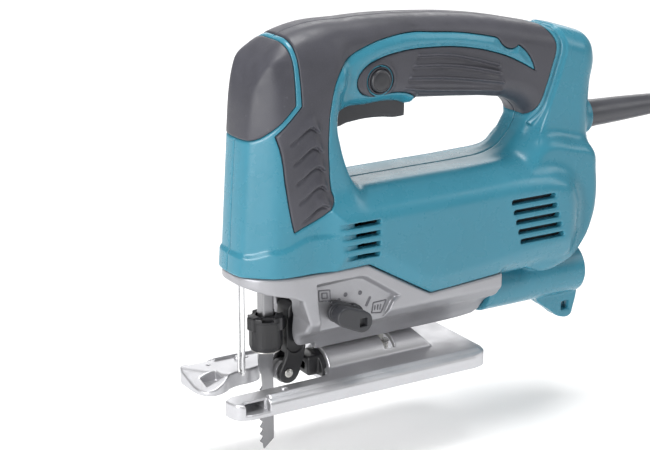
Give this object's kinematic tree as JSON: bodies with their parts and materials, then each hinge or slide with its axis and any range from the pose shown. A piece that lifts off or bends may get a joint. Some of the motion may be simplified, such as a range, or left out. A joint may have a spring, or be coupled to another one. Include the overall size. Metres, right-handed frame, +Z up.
{
  "type": "jigsaw power tool",
  "caption": "Top-handle electric jigsaw: moulded housing with grip overmoulds and finger opening, cast gear housing, plunger with blade, guide roller, tilting base and power cord.",
  "frame": {"origin": "middle of the sole's underside: half way along the base plate, on the tool's middle plane", "axes": "+Z up from the sole, +X to the rear where the cord leaves, -X the cutting direction, -Y the side with the selector lever"},
  "size_m": [0.4676, 0.1057, 0.2464],
  "materials": {
    "teal_plastic": "satin moulded",
    "grey_elastomer": "matt",
    "black_plastic": "satin",
    "grey_plastic": "satin",
    "cast_aluminium": "as cast",
    "steel": "machined",
    "zinc_steel": "zinc plated",
    "motor_iron": "laminated",
    "copper": "turned",
    "brass": "drawn",
    "bronze": "sintered",
    "carbon": "pressed",
    "cord_rubber": "satin"
  },
  "bodies": {
    "frame": {"housing_left": "teal_plastic", "housing_right": "teal_plastic", "front_cap": "grey_elastomer", "grip_left": "grey_elastomer", "grip_right": "grey_elastomer", "switch": "black_plastic", "cord_tie": "black_plastic", "fan_baffle": "grey_plastic", "gear_housing": "cast_aluminium", "bearing_plate": "cast_aluminium", "fork_pin": "steel", "wire_guard": "steel", "bearing_front": "steel", "bearing_rear": "steel", "gear_shaft": "steel", "base_bolt": "zinc_steel", "bolt_washer": "zinc_steel", "housing_screw_1": "zinc_steel", "housing_screw_2": "zinc_steel", "housing_screw_3": "zinc_steel", "housing_screw_4": "zinc_steel", "housing_screw_5": "zinc_steel", "housing_screw_6": "zinc_steel", "field": "motor_iron", "brush_holder_left": "brass", "brush_holder_right": "brass", "plug_pin_a": "brass", "plug_pin_b": "brass", "lower_bush": "bronze", "upper_bush": "bronze", "brush_left": "carbon", "brush_right": "carbon", "cord_guard": "cord_rubber", "power_cord": "cord_rubber", "cord_coil": "cord_rubber", "plug": "cord_rubber"},
    "rotor": {"armature": "motor_iron", "commutator": "copper", "fan": "black_plastic"},
    "gear": {"crank_gear": "steel"},
    "slider": {"plunger": "steel", "blade": "steel"},
    "clamp": {"clamp_sleeve": "black_plastic"},
    "fork": {"roller_fork": "black_plastic", "roller_pin": "steel"},
    "roller": {"guide_roller": "steel"},
    "selector": {"change_lever": "black_plastic", "selector_shaft": "steel"},
    "trigger": {"trigger": "grey_plastic"},
    "lock": {"lock_button": "grey_plastic"},
    "base": {"base_plate": "cast_aluminium", "dust_nozzle": "black_plastic"}
  },
  "joints": [
    {"name": "rotor_spin", "type": "hinge", "parent": "frame", "child": "rotor", "pos_m": [0.06, 0, 0.081], "axis": [1, 0, 0], "continuous": true},
    {"name": "gear_spin", "type": "hinge", "parent": "frame", "child": "gear", "pos_m": [-0.024, 0, 0.10379], "axis": [1, 0, 0], "continuous": true},
    {"name": "plunger_slide", "type": "slide", "parent": "frame", "child": "slider", "axis": [0, 0, 1], "range_m": [-0.006, 0.017]},
    {"name": "clamp_twist", "type": "hinge", "parent": "slider", "child": "clamp", "pos_m": [-0.0437, 0, 0.033], "axis": [0, 0, 1], "range_deg": [-25, 0], "stiffness_Nm_per_rad": 0.02, "springref_deg": 2.86},
    {"name": "fork_swing", "type": "hinge", "parent": "frame", "child": "fork", "pos_m": [-0.026, 0, 0.044], "axis": [0, -1, 0], "range_deg": [0, 3]},
    {"name": "roller_spin", "type": "hinge", "parent": "fork", "child": "roller", "pos_m": [-0.033, 0, 0.0085], "axis": [0, 1, 0], "continuous": true},
    {"name": "selector_turn", "type": "hinge", "parent": "frame", "child": "selector", "pos_m": [-0.004, 0, 0.0426], "axis": [0, 1, 0], "range_deg": [0, 135]},
    {"name": "trigger_pull", "type": "hinge", "parent": "frame", "child": "trigger", "pos_m": [0.0365, 0, 0.1605], "axis": [0, 1, 0], "range_deg": [0, 5.5], "stiffness_Nm_per_rad": 0.3},
    {"name": "lock_push", "type": "slide", "parent": "frame", "child": "lock", "axis": [0, 1, 0], "range_m": [0, 0.0025], "stiffness_N_per_m": 200},
    {"name": "base_tilt", "type": "hinge", "parent": "frame", "child": "base", "pos_m": [0.03, 0, 0.005], "axis": [1, 0, 0], "range_deg": [-45, 45]}
  ],
  "couplings": [
    {"joint": "gear_spin", "follows": "rotor_spin", "ratio": -0.15217}
  ]
}
